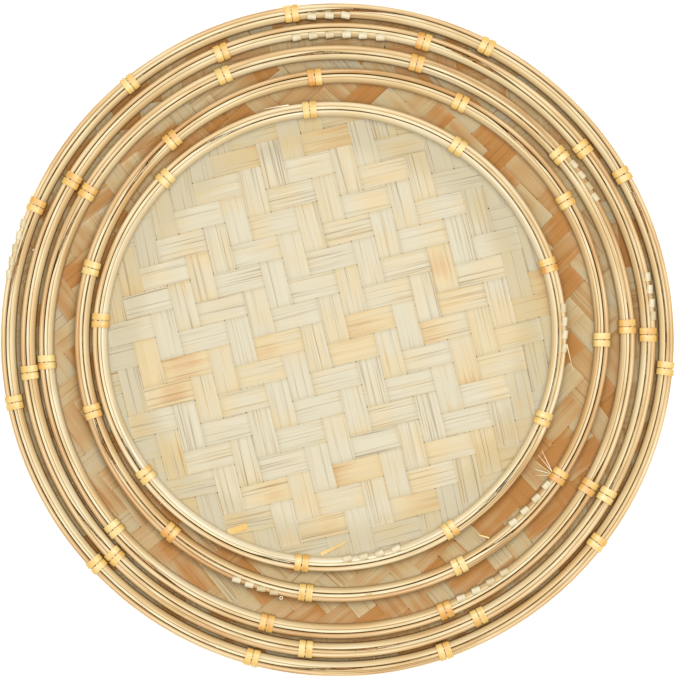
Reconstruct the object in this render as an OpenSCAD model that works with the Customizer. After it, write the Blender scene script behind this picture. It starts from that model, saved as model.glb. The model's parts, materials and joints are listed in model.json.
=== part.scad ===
// Nested set of five shallow round bamboo baskets.
// Basket 1 is the smallest and innermost, basket 5 the largest and outermost.
// Each basket is a woven mat pressed into a dish. Its edge stands between an inner and an outer
// hoop of split bamboo, a filler lath covers the edge, and pairs of cane wraps tie the rim.
// Each hoop's scarfed ends are lashed with a few turns of a thin pale split.
// Each smaller basket sits in the next larger one, on the first place where they would meet.
// Origin: on the surface that the set stands on, under the middle of basket 5. +Z is up.

/* [Set] */
// Radius of basket 5's rim, at the middle of its mat's edge
set_r = 138.6; // [115:0.1:170]
// Height of basket 5, from its underside to the top of its hoops
set_h = 30; // [24:0.5:70]
// Space between two nested baskets where the smaller one sits on the larger
floor_gap = 0.3; // [0.2:0.05:1]

/* [Woven mat] */
// Thickness of the mat, two crossed layers of splits
mat_t = 1.4; // [1:0.1:2]
// Space between the mat and each hoop that grips it
grip_gap = 0.1; // [0.05:0.05:0.3]

/* [Hoops] */
// Thickness of the inner hoop's lath
inner_t = 2.4; // [1.8:0.1:3.2]
// Thickness of the outer hoop's lath
outer_t = 2; // [1.6:0.1:3]
// Height of both laths
hoop_h = 9; // [7:0.5:14]
// Angle between a lath and the scarf cut at its ends
scarf_angle = 14; // [12:1:30]
// Space between the two scarfed ends
scarf_gap = 0.3; // [0.1:0.05:0.6]

/* [Filler lath] */
// Height of the lath that covers the mat's edge
filler_h = 2.4; // [1.6:0.1:4]
// Space round the filler lath
filler_gap = 0.1; // [0.05:0.05:0.3]

/* [Ties] */
// Width of one cane wrap
tie_w = 2.65; // [1.5:0.05:4]
// Thickness of the cane
tie_t = 0.5; // [0.3:0.05:1]
// Space between the two wraps of a tie
tie_pair_gap = 0.35; // [0.1:0.05:1]
// Space between a wrap and the rim inside it
tie_gap = 0.1; // [0.05:0.05:0.3]
// Inside corner radius of a wrap
tie_corner = 1; // [0.3:0.1:1.2]
// Space between a wrap and the slit where it passes through the mat
slit_gap = 0.15; // [0.1:0.05:0.4]

/* [Lashings] */
// Width of one turn
lash_w = 2.8; // [1.5:0.1:3.5]
// Thickness of the split
lash_t = 0.4; // [0.2:0.05:0.7]
// Distance from one turn to the next, along the inner hoop
inner_pitch = 7; // [4:0.1:8]
// Distance from one turn to the next, along the outer hoop
outer_pitch = 5.5; // [4:0.1:6]
// Space between a turn and the hoop inside it
lash_gap = 0.1; // [0.05:0.05:0.2]
// Inside corner radius of a turn
lash_corner = 0.5; // [0.2:0.05:0.6]

/* [Basket 5, largest] */
// How far the wall leans out from the floor's edge to the rim
wall_run_5 = 45; // [24:0.5:60]
// Radius of the bend between floor and wall, at most as wide as the wall
bend_r_5 = 42; // [10:0.5:50]
// Direction of the inner hoop's joint, in degrees
inner_joint_5 = 90; // [0:1:359]
// Direction of the outer hoop's joint, in degrees
outer_joint_5 = 163; // [0:1:359]

/* [Basket 4] */
// Space between its ties and those of basket 5
rim_gap_4 = 0.7; // [0.7:0.1:8]
// How far its hoops stand below those of basket 5 when its floor lies on that one's floor
rim_drop_4 = 1; // [0.5:0.1:8]
// How far the wall leans out from the floor's edge to the rim
wall_run_4 = 41; // [20:0.5:55]
// Radius of the bend between floor and wall, at most as wide as the wall
bend_r_4 = 38; // [8:0.5:46]
// Offset from the middle of basket 5, along X
off_x_4 = 0.3; // [-0.3:0.1:0.3]
// Offset from the middle of basket 5, along Y
off_y_4 = -0.2; // [-0.3:0.1:0.3]
// Direction of the inner hoop's joint, in degrees
inner_joint_4 = 90; // [0:1:359]
// Direction of the outer hoop's joint, in degrees
outer_joint_4 = 8; // [0:1:359]

/* [Basket 3] */
// Space between its ties and those of basket 4
rim_gap_3 = 1.2; // [1.1:0.1:8]
// How far its hoops stand below those of basket 4 when its floor lies on that one's floor
rim_drop_3 = 1; // [0.5:0.1:8]
// How far the wall leans out from the floor's edge to the rim
wall_run_3 = 36; // [18:0.5:50]
// Radius of the bend between floor and wall, at most as wide as the wall
bend_r_3 = 34; // [6:0.5:41]
// Offset from the middle of basket 4, along X
off_x_3 = -0.5; // [-0.5:0.1:0.5]
// Offset from the middle of basket 4, along Y
off_y_3 = -0.7; // [-0.7:0.1:0.7]
// Direction of the inner hoop's joint, in degrees
inner_joint_3 = 301; // [0:1:359]
// Direction of the outer hoop's joint, in degrees
outer_joint_3 = 33; // [0:1:359]

/* [Basket 2] */
// Space between its ties and those of basket 3
rim_gap_2 = 5.5; // [4.2:0.1:10]
// How far its hoops stand below those of basket 3 when its floor lies on that one's floor
rim_drop_2 = 1; // [0.5:0.1:8]
// How far the wall leans out from the floor's edge to the rim
wall_run_2 = 28; // [14:0.5:40]
// Radius of the bend between floor and wall, at most as wide as the wall
bend_r_2 = 26; // [5:0.5:32]
// Offset from the middle of basket 3, along X
off_x_2 = 2.1; // [-2.1:0.1:2.1]
// Offset from the middle of basket 3, along Y
off_y_2 = 2.8; // [-2.8:0.1:2.8]
// Direction of the inner hoop's joint, in degrees
inner_joint_2 = 318; // [0:1:359]
// Direction of the outer hoop's joint, in degrees
outer_joint_2 = 251; // [0:1:359]

/* [Basket 1, smallest] */
// Space between its ties and those of basket 2
rim_gap_1 = 5.8; // [5.6:0.1:10]
// How far its hoops stand below those of basket 2 when its floor lies on that one's floor
rim_drop_1 = 1; // [0.5:0.1:8]
// How far the wall leans out from the floor's edge to the rim
wall_run_1 = 21; // [11:0.5:30]
// Radius of the bend between floor and wall, at most as wide as the wall
bend_r_1 = 20; // [4:0.5:25]
// Offset from the middle of basket 2, along X
off_x_1 = -5.2; // [-5.2:0.1:5.2]
// Offset from the middle of basket 2, along Y
off_y_1 = -0.6; // [-0.6:0.1:0.6]
// Direction of the inner hoop's joint, in degrees
inner_joint_1 = 281; // [0:1:359]
// Direction of the outer hoop's joint, in degrees
outer_joint_1 = 2; // [0:1:359]

/* [Hidden] */
// Turns in the lashing of each hoop, for baskets 1 to 5
INNER_TURNS = [4, 4, 4, 6, 3];
OUTER_TURNS = [4, 4, 4, 4, 5];
// Directions of the ties on baskets 1 to 5, in degrees
TIES = [
    [18, 56, 95, 136, 176, 217, 263, 302, 339],
    [31, 63, 96, 131, 165, 197, 229, 262, 297, 327, 359],
    [3, 40, 74, 113, 149, 184, 220, 256, 292, 330],
    [1, 38, 74, 112, 149, 186, 224, 264, 297, 330],
    [30, 63, 98, 129, 156, 191, 223, 255, 289, 322, 355]
];
PIECES = ["mat", "inner_hoop", "outer_hoop", "filler", "ties", "inner_lashing", "outer_lashing"];
BASKETS = len(TIES);

// Bamboo colours: woven splits, pale lath, tan lath with its skin, golden cane, cream split
MAT_COLOUR = [0.90, 0.83, 0.66];
PALE_LATH = [0.94, 0.87, 0.69];
TAN_LATH = [0.85, 0.71, 0.48];
CANE = [0.91, 0.77, 0.44];
CREAM = [0.97, 0.93, 0.84];

ARC_STEPS = 6;           // flats in the mat's bend and in a lath's rounded edge
ROUND = 96;              // facets shown on a full circle
SMALL_ROUND = 24;        // facets shown on a rounded corner
CUT = 10;                // how far cutters reach past what they cut

// One list per size that differs from basket to basket, smallest basket first
RIM_GAP = [rim_gap_1, rim_gap_2, rim_gap_3, rim_gap_4];
RIM_DROP = [rim_drop_1, rim_drop_2, rim_drop_3, rim_drop_4];
WALL_RUN = [wall_run_1, wall_run_2, wall_run_3, wall_run_4, wall_run_5];
BEND_R = [bend_r_1, bend_r_2, bend_r_3, bend_r_4, bend_r_5];
OFFSET = [[off_x_1, off_y_1], [off_x_2, off_y_2], [off_x_3, off_y_3], [off_x_4, off_y_4]];
INNER_JOINT = [inner_joint_1, inner_joint_2, inner_joint_3, inner_joint_4, inner_joint_5];
OUTER_JOINT = [outer_joint_1, outer_joint_2, outer_joint_3, outer_joint_4, outer_joint_5];

// Rim section, measured from the middle of the mat's edge
slot = mat_t + 2 * grip_gap;
rim_in = slot / 2 + inner_t + tie_gap + tie_t;
rim_out = slot / 2 + outer_t + tie_gap + tie_t;

// Rim radius, own height and middle of basket k
function rim_r(k) = k == BASKETS ? set_r : rim_r(k + 1) - rim_in - RIM_GAP[k - 1] - rim_out;
function height(k) = k == BASKETS ? set_h : height(k + 1) - mat_t - floor_gap - RIM_DROP[k - 1];
function middle(k) = k == BASKETS ? [0, 0] : middle(k + 1) + OFFSET[k - 1];

// Heights within basket k: the hoops' lower edge, the slits' lower edge, and the wall's top end
function foot(k) = height(k) - hoop_h;
function slit_z(k) = foot(k) - tie_gap - tie_t - slit_gap;
function wall_top(k) = slit_z(k) - mat_t / 2;

// Points along an arc in the section plane
function arc(centre, r, from, to) = [
    for (i = [0:ARC_STEPS])
        let (a = from + (to - from) * i / ARC_STEPS)
        centre + r * [cos(a), sin(a)]
];

// Slope of basket k's wall, tangent to the bend and ending under the middle of the rim
function bend_r(k) = min(BEND_R[k - 1], WALL_RUN[k - 1]);
function bend_centre(k) = [rim_r(k) - WALL_RUN[k - 1], mat_t / 2 + bend_r(k)];
function wall_slope(k) =
    let (to_top = [rim_r(k), wall_top(k)] - bend_centre(k))
    atan2(to_top[1], to_top[0]) + asin(bend_r(k) / norm(to_top));
function mitre(k) = mat_t / 2 * cos(wall_slope(k)) / (1 + sin(wall_slope(k)));

// Lower and upper side of the mat from the middle out: floor, bend and leaning wall
function lower_side(k) = concat(
    [[0, 0]],
    arc(bend_centre(k), bend_r(k) + mat_t / 2, -90, wall_slope(k) - 90),
    [[rim_r(k) + mat_t / 2, wall_top(k) - mitre(k)]]
);
function upper_side(k) = concat(
    [[0, mat_t]],
    arc(bend_centre(k), bend_r(k) - mat_t / 2, -90, wall_slope(k) - 90),
    [[rim_r(k) - mat_t / 2, wall_top(k) + mitre(k)]]
);

// Half section of the mat: its two sides, joined by an upright edge between the hoops
function mat_section(k) =
    let (edge_top = height(k) - filler_h - filler_gap, upper = upper_side(k))
    concat(
        lower_side(k),
        [[rim_r(k) + mat_t / 2, edge_top], [rim_r(k) - mat_t / 2, edge_top]],
        [for (i = [len(upper) - 1:-1:0]) upper[i]]
    );

// Height at which basket k sits in the next larger one: where the underside of its mat and ties
// first meets that one's mat, on the side to which its middle is offset
function underside(k) = concat(lower_side(k), [[rim_r(k) + rim_out, foot(k) - tie_gap - tie_t]]);
function seat(k) =
    let (under = underside(k), over = upper_side(k + 1), off = norm(OFFSET[k - 1]))
    floor_gap + max(concat(
        [for (p = under) lookup(p[0] + off, over) - p[1]],
        [for (p = over) if (p[0] - off < rim_r(k) + rim_out) p[1] - lookup(p[0] - off, under)]
    ));
function rise(k) = k == BASKETS ? 0 : rise(k + 1) + seat(k);

// Puts a piece of basket k in its place in the nest
module nested(k) translate([middle(k)[0], middle(k)[1], rise(k)]) children();

// A lath's section with both edges fully rounded, standing on the X axis
module lath_section(t, h)
    polygon(concat(arc([t / 2, h - t / 2], t / 2, 0, 180), arc([t / 2, t / 2], t / 2, 180, 360)));

// A lath bent to a ring, with its ends parted by a scarf cut at the given direction
module lath_ring(r, t, z, h, joint) {
    difference() {
        rotate_extrude($fn = ROUND) translate([r, z]) lath_section(t, h);
        rotate([0, 0, joint]) translate([r + t / 2, 0, z + h / 2]) rotate([0, 0, -scarf_angle])
            cube([scarf_gap, 2 * t / sin(scarf_angle), h + CUT], center = true);
    }
}

// A box outline with rounded corners
module rounded_box(low, high, r) {
    size = high - low;
    translate(low + [r, 0]) square([size[0] - 2 * r, size[1]]);
    translate(low + [0, r]) square([size[0], size[1] - 2 * r]);
    for (x = [low[0] + r, high[0] - r], z = [low[1] + r, high[1] - r])
        translate([x, z]) circle(r, $fn = SMALL_ROUND);
}

// A flat strip that goes once round an upright box section, at direction a
module strip_turn(a, low, high, corner, w, t) {
    rotate([0, 0, a]) rotate([90, 0, 0]) translate([0, 0, -w / 2]) linear_extrude(w)
        difference() {
            rounded_box(low - [t, t], high + [t, t], corner + t);
            rounded_box(low, high, corner);
        }
}

// Radius of each hoop's inner face
function inner_hoop_r(k) = rim_r(k) - slot / 2 - inner_t;
function outer_hoop_r(k) = rim_r(k) + slot / 2;

// Directions of the turns of a lashing on a hoop, with its joint midway between two of them
function turn_angles(joint, turns, pitch, r) = [
    for (i = [0:turns - 1]) joint + (i - floor(turns / 2) + 0.5) * pitch / r * 180 / PI
];
function inner_turns(k) = turn_angles(INNER_JOINT[k - 1], INNER_TURNS[k - 1], inner_pitch, inner_hoop_r(k));
function outer_turns(k) = turn_angles(OUTER_JOINT[k - 1], OUTER_TURNS[k - 1], outer_pitch, outer_hoop_r(k));

// Grooves that let a lashing lie flush on the side of the hoop that meets the mat
module lash_grooves(k, angles, r) {
    groove_w = lash_w + 2 * lash_gap;
    groove_d = lash_t + lash_gap;
    for (a = angles) rotate([0, 0, a])
        translate([r - groove_d, -groove_w / 2, foot(k) - CUT / 2])
            cube([2 * groove_d, groove_w, hoop_h + CUT]);
}

module mat(k) {
    slit_w = 2 * tie_w + tie_pair_gap + 2 * slit_gap;
    slit_h = tie_t + 2 * slit_gap;
    color(MAT_COLOUR) nested(k) difference() {
        rotate_extrude($fn = ROUND) polygon(mat_section(k));
        for (a = TIES[k - 1]) rotate([0, 0, a])
            translate([rim_r(k) - mat_t, -slit_w / 2, slit_z(k)]) cube([2 * mat_t, slit_w, slit_h]);
    }
}

module inner_hoop(k) {
    r = inner_hoop_r(k);
    color(PALE_LATH) nested(k) difference() {
        lath_ring(r, inner_t, foot(k), hoop_h, INNER_JOINT[k - 1]);
        lash_grooves(k, inner_turns(k), r + inner_t);
    }
}

module outer_hoop(k) {
    r = outer_hoop_r(k);
    color(TAN_LATH) nested(k) difference() {
        lath_ring(r, outer_t, foot(k), hoop_h, OUTER_JOINT[k - 1]);
        lash_grooves(k, outer_turns(k), r);
    }
}

module filler(k) {
    t = slot - 2 * filler_gap;
    joint = (INNER_JOINT[k - 1] + 180) % 360;
    color(PALE_LATH) nested(k)
        lath_ring(rim_r(k) - t / 2, t, height(k) - filler_h, filler_h, joint);
}

module ties(k) {
    low = [inner_hoop_r(k) - tie_gap, foot(k) - tie_gap];
    high = [outer_hoop_r(k) + outer_t + tie_gap, height(k) + tie_gap];
    half_pair = (tie_w + tie_pair_gap) / 2 / low[0] * 180 / PI;
    color(CANE) nested(k)
        for (a = TIES[k - 1], side = [-1, 1])
            strip_turn(a + side * half_pair, low, high, tie_corner, tie_w, tie_t);
}

module inner_lashing(k) {
    r = inner_hoop_r(k);
    low = [r - lash_gap, foot(k) - lash_gap];
    high = [r + inner_t - lash_t, height(k) + lash_gap];
    color(CREAM) nested(k)
        for (a = inner_turns(k))
            strip_turn(a, low, high, lash_corner, lash_w, lash_t);
}

module outer_lashing(k) {
    r = outer_hoop_r(k);
    low = [r + lash_t, foot(k) - lash_gap];
    high = [r + outer_t + lash_gap, height(k) + lash_gap];
    color(CREAM) nested(k)
        for (a = outer_turns(k))
            strip_turn(a, low, high, lash_corner, lash_w, lash_t);
}

for (k = [1:BASKETS]) {
    mat(k);
    inner_hoop(k);
    outer_hoop(k);
    filler(k);
    ties(k);
    inner_lashing(k);
    outer_lashing(k);
}
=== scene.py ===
# %% [markdown]
# # A nested set of five woven bamboo baskets
# Five shallow round baskets lie in each other. Each is a mat of flat bamboo splits, woven over two
# and under two, pressed into a dish. Its edge stands between two hoops, thin slivers fill the space
# between them, pairs of golden cane wraps tie the rim, and cream splits lash the hoops' joints.
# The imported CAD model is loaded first. It stays as it is, and every size below is read from it or
# is a maker's size in millimetres. Each cell makes or measures one thing and prints what it did.

# %% Load the fixed frame
import json
import math
import random
from types import SimpleNamespace

import bmesh
import bpy
import numpy as np
from mathutils import Matrix, Vector

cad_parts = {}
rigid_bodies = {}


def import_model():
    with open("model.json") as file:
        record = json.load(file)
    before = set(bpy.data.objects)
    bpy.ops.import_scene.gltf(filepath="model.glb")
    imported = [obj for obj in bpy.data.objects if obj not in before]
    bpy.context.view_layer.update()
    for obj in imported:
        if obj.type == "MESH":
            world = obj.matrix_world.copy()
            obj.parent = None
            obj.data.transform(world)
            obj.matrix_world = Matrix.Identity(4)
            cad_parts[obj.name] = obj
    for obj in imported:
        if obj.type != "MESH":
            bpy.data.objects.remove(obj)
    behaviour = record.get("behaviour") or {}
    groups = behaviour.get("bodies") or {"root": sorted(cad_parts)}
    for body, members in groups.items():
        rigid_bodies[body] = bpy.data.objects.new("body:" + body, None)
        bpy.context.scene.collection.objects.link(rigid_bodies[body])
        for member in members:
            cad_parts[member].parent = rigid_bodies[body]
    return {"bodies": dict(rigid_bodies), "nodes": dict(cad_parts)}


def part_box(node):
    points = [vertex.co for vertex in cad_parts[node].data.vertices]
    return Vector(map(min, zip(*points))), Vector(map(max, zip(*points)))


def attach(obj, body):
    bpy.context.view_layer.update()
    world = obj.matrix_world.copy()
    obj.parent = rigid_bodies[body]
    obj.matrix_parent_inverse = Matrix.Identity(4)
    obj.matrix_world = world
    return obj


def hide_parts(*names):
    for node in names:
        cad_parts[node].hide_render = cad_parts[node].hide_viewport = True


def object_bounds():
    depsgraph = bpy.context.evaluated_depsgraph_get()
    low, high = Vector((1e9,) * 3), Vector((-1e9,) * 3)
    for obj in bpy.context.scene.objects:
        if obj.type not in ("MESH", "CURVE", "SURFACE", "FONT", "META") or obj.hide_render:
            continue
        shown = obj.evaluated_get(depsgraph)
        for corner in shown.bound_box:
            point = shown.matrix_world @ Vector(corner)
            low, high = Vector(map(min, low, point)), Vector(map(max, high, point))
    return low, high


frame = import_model()
cad_box = [list(corner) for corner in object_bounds()]
BASKETS = sorted(int(body[-1]) for body in frame["bodies"])
print("baskets", BASKETS, "CAD box", cad_box)

# %% [markdown]
# Bamboo work is measured in millimetres and Blender works in metres, so lengths below are in
# millimetres and are turned into metres where a mesh gets its points. Two small helpers move all
# the points of a mesh in and out of numpy, which is how a hand-modelled blank gets bent into place.

# %% Units and helpers
MM = 0.001
rng = random.Random(11)


def points_of(thing):
    co = np.empty(len(thing.data.vertices) * 3)
    thing.data.vertices.foreach_get("co", co)
    return co.reshape(-1, 3) / MM


def put_points(thing, points):
    thing.data.vertices.foreach_set("co", (points * MM).ravel())
    thing.data.update()


def only(*things):
    """Selects these objects and nothing else, and makes the first one active."""
    bpy.ops.object.select_all(action="DESELECT")
    for thing in things:
        thing.select_set(True)
    bpy.context.view_layer.objects.active = things[0]


def edit(mode="VERT"):
    bpy.ops.object.mode_set(mode="EDIT")
    bpy.ops.mesh.select_mode(type=mode)
    bpy.ops.mesh.select_all(action="DESELECT")
    bpy.ops.object.mode_set(mode="OBJECT")


def apply_modifier(thing, kind, **settings):
    only(thing)
    modifier = thing.modifiers.new(kind.lower(), kind)
    for key, value in settings.items():
        setattr(modifier, key, value)
    bpy.ops.object.modifier_apply(modifier=modifier.name)


def join(name, pieces):
    only(*pieces)
    if len(pieces) > 1:
        bpy.ops.object.join()
    pieces[0].name = name
    pieces[0].data.name = name
    return pieces[0]


def copy_of(master, name):
    made = master.copy()
    made.data = master.data.copy()
    made.name = name
    bpy.context.scene.collection.objects.link(made)
    return made


def smooth_by_angle(thing, degrees=35):
    only(thing)
    bpy.ops.object.shade_smooth_by_angle(angle=math.radians(degrees))


# %% [markdown]
# ## Measuring the frame
# A mat's CAD solid is a dish of one thickness: a flat floor, a round bend, a straight leaning wall
# and an upright edge between the hoops. Its rings of vertices give those sizes, and the bend's
# radius follows from one ring on it, because a circle's rise and run give its radius. The slope
# and the place where the wall ends depend on each other, so a few rounds settle both.

# %% Measure each basket
SAME = 0.01
BESIDE = 0.05
OFF_FLOOR = 0.1
ON_BEND = 0.5
FIRST_SLOPE = 30
SLOPE_ROUNDS = 4


def measure(k):
    mat = points_of(frame["nodes"][f"mat_{k}"])
    low, high = mat.min(0), mat.max(0)
    middle = (low[:2] + high[:2]) / 2
    r = np.hypot(mat[:, 0] - middle[0], mat[:, 1] - middle[1])
    z = mat[:, 2] - low[2]
    floor_r = r[z < SAME].max()
    thick = z[(abs(r - floor_r) < BESIDE) & (z > OFF_FLOOR)].min()
    on_edge = z > z.max() - SAME
    rim_r = (r[on_edge].min() + r[on_edge].max()) / 2
    corner_z = z[r > rim_r + thick / 2 - 2 * SAME].min()
    past = r > floor_r + ON_BEND
    run, climb = r[past][z[past].argmin()] - floor_r, z[past].min()
    bend = (run * run + climb * climb) / (2 * climb) - thick / 2
    slope = math.radians(FIRST_SLOPE)
    for _ in range(SLOPE_ROUNDS):
        wall_z = corner_z + thick / 2 * math.cos(slope) / (1 + math.sin(slope))
        out, up = rim_r - floor_r, wall_z - thick / 2 - bend
        slope = math.atan2(up, out) + math.asin(bend / math.hypot(out, up))
    bend_end = floor_r + bend * slope
    wall_run = out - bend * math.sin(slope)
    wall_end = bend_end + wall_run / math.cos(slope)
    inner = points_of(frame["nodes"][f"inner_hoop_{k}"])
    inner_r = np.hypot(inner[:, 0] - middle[0], inner[:, 1] - middle[1])
    outer = points_of(frame["nodes"][f"outer_hoop_{k}"])
    outer_r = np.hypot(outer[:, 0] - middle[0], outer[:, 1] - middle[1])
    return SimpleNamespace(
        k=k, middle=middle, base=low[2], thick=thick, floor_r=floor_r, bend=bend, slope=slope,
        bend_end=bend_end, wall_end=wall_end, rim_r=rim_r, flat_r=wall_end + z.max() - wall_z,
        foot=inner[:, 2].min(), top=inner[:, 2].max(),
        inner=(inner_r.min(), inner_r.max()), outer=(outer_r.min(), outer_r.max()),
    )


baskets = {k: measure(k) for k in BASKETS}
for b in baskets.values():
    print(f"basket {b.k}: middle {b.middle.round(2)}, rim {b.rim_r:.1f}, floor {b.floor_r:.1f}, "
          f"bend {b.bend:.1f}, wall {math.degrees(b.slope):.1f} deg, flat mat {b.flat_r:.1f}, "
          f"hoops {b.foot:.1f} to {b.top:.1f}, inner {b.inner[0]:.2f}, outer {b.outer[1]:.2f}")

# %% [markdown]
# Wraps and lashing turns are separate solids within their CAD node. Merging the node's loose
# triangles in a bmesh and walking from face to face finds each solid, and the direction of its
# middle, seen from the basket's own middle, is where the visual wrap goes.

# %% Find the direction of each wrap and turn
MERGE = 1e-6


def directions(node, b):
    shape = bmesh.new()
    shape.from_mesh(frame["nodes"][node].data)
    bmesh.ops.remove_doubles(shape, verts=shape.verts, dist=MERGE)
    left, found = set(shape.verts), []
    while left:
        todo, group = [left.pop()], []
        while todo:
            here = todo.pop()
            group.append(here.co / MM)
            for edge in here.link_edges:
                other = edge.other_vert(here)
                if other in left:
                    left.remove(other)
                    todo.append(other)
        x = (min(p.x for p in group) + max(p.x for p in group)) / 2 - b.middle[0]
        y = (min(p.y for p in group) + max(p.y for p in group)) / 2 - b.middle[1]
        found.append(math.degrees(math.atan2(y, x)) % 360)
    shape.free()
    return sorted(found)


wraps = {k: directions(f"ties_{k}", baskets[k]) for k in BASKETS}
inner_turns = {k: directions(f"inner_lashing_{k}", baskets[k]) for k in BASKETS}
outer_turns = {k: directions(f"outer_lashing_{k}", baskets[k]) for k in BASKETS}
print("wraps", {k: len(found) for k, found in wraps.items()})
print("inner turns", {k: len(found) for k, found in inner_turns.items()})
print("outer turns", {k: len(found) for k, found in outer_turns.items()})

# %% [markdown]
# ## Camera, floor and light
# The set is seen from straight above, from far enough that the rims hide what is under them. A
# soft light hangs close to the line of sight, a little towards the far right, so that it reaches
# down between the rims. A bright plain surround and a light table under the paper keep the paper
# white and the shadows soft.

# %% Camera
CAMERA_HEIGHT = 1.6
FIELD_W = 0.2849
AIM_X, AIM_Y = 0.0009, 0.0007
SENSOR_W = 36
FAR_CLIP = 20

camera = bpy.data.objects.new("camera", bpy.data.cameras.new("camera"))
bpy.context.scene.collection.objects.link(camera)
camera.data.sensor_width = SENSOR_W
camera.data.lens = SENSOR_W * CAMERA_HEIGHT / FIELD_W
camera.data.clip_end = FAR_CLIP
camera.location = (AIM_X, AIM_Y, cad_box[1][2] + CAMERA_HEIGHT)
camera.data.dof.use_dof = False
bpy.context.scene.camera = camera
bpy.context.scene.view_settings.view_transform = "Standard"
print("lens", round(camera.data.lens, 1))


# %% [markdown]
# Colours are written as sRGB hex values, the way a paint chart gives them, and shaders work in
# linear light, so one function turns the first into the second. Another adds a shader node with
# its settings, the values on its sockets and the links into it, which keeps each material short.

# %% Colour and node helpers
def colour(hex_value):
    parts = [int(hex_value[i:i + 2], 16) / 255 for i in (1, 3, 5)]
    return [c / 12.92 if c <= 0.04045 else ((c + 0.055) / 1.055) ** 2.4 for c in parts] + [1]


def add(tree, kind, settings={}, values={}, links={}):
    made = tree.nodes.new("ShaderNode" + kind)
    for key, value in settings.items():
        setattr(made, key, value)
    for key, value in values.items():
        made.inputs[key].default_value = value
    for key, source in links.items():
        tree.links.new(source, made.inputs[key])
    return made


def new_material(name):
    made = bpy.data.materials.new(name)
    made.use_nodes = True
    return made, made.node_tree, made.node_tree.nodes["Principled BSDF"]


# %% [markdown]
# The baskets lie on a sheet of white backdrop paper: matt, with a grain so fine that it only takes
# the shine off. The light table under it is a little emission, which keeps the thin shadow beside
# the outer rim from showing. A lit box around the set would do the same, with more to build.

# %% Paper
PAPER_SIZE = 6
PAPER_DROP = 0.0005
PAPER_GRAINS = 900
PAPER_RELIEF = 0.0002
TABLE_GLOW = 0.35

paper, tree, shader = new_material("white_backdrop_paper")
grain = add(tree, "TexNoise", values={"Scale": PAPER_GRAINS, "Detail": 2})
bump = add(tree, "Bump", values={"Strength": 0.02, "Distance": PAPER_RELIEF},
           links={"Height": grain.outputs[0]})
tree.links.new(bump.outputs[0], shader.inputs["Normal"])
shader.inputs["Base Color"].default_value = colour("#FCFCFC")
shader.inputs["Roughness"].default_value = 0.9
shader.inputs["Emission Color"].default_value = colour("#FFFFFF")
shader.inputs["Emission Strength"].default_value = TABLE_GLOW

bpy.ops.object.select_all(action="DESELECT")
bpy.ops.mesh.primitive_plane_add(size=PAPER_SIZE, location=(0, 0, cad_box[0][2] - PAPER_DROP))
floor = bpy.context.object
floor.name = "floor"
floor.data.materials.append(paper)
print("paper", PAPER_SIZE, "m wide")

# %% [markdown]
# A studio would hang a softbox over the table. The bigger it is, the softer the shadows, but the
# slots between the rims are narrow and deep, and a big box leaves their floors black. Half a metre
# at a metre and a half is small enough to look into them and still soft at the edges.

# %% Surround and softbox
SURROUND = 0.55
SOFTBOX_SIZE = 0.5
SOFTBOX_WATTS = 16.6
SOFTBOX_AT = (0.05, 0.07, 1.5)

world = bpy.data.worlds.new("bright_surround")
bpy.context.scene.world = world
world.use_nodes = True
world.node_tree.nodes["Background"].inputs["Color"].default_value = colour("#FFFFFF")
world.node_tree.nodes["Background"].inputs["Strength"].default_value = SURROUND

key = bpy.data.objects.new("key_softbox", bpy.data.lights.new("key_softbox", "AREA"))
bpy.context.scene.collection.objects.link(key)
key.data.shape = "RECTANGLE"
key.data.size = SOFTBOX_SIZE
key.data.size_y = SOFTBOX_SIZE
key.data.energy = SOFTBOX_WATTS
key.location = SOFTBOX_AT
key.rotation_euler = (Vector((0, 0, 0)) - key.location).to_track_quat("-Z", "Y").to_euler()
print("softbox", SOFTBOX_WATTS, "W at", SOFTBOX_AT)


# %% [markdown]
# ## Materials
# Everything here is bamboo or cane, and what tells the pieces apart is how each was split and
# planed. All share one build: fine streaks that run along the fibres, broader bands of colour,
# a few brown vessels, and a bump from the streaks. The fibres follow the piece, so every piece
# carries a UV map in millimetres, U across the fibres and V along them, and a "tone" attribute
# that says how near the skin this strip was split, which sets it between pale, tan and honey. A
# wood grain could also be cut from a 3D pattern, but a bent strip would then run out of its grain.

# %% Bamboo material
FIBRE_RUN = 90
BAND_WIDTH = 4
BAND_RUN = 60
PATCH_WIDTH = 5
PATCH_SPREAD = 0.22
BAND_SPREAD = 0.16
BAMBOO_RELIEF = 0.08


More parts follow.
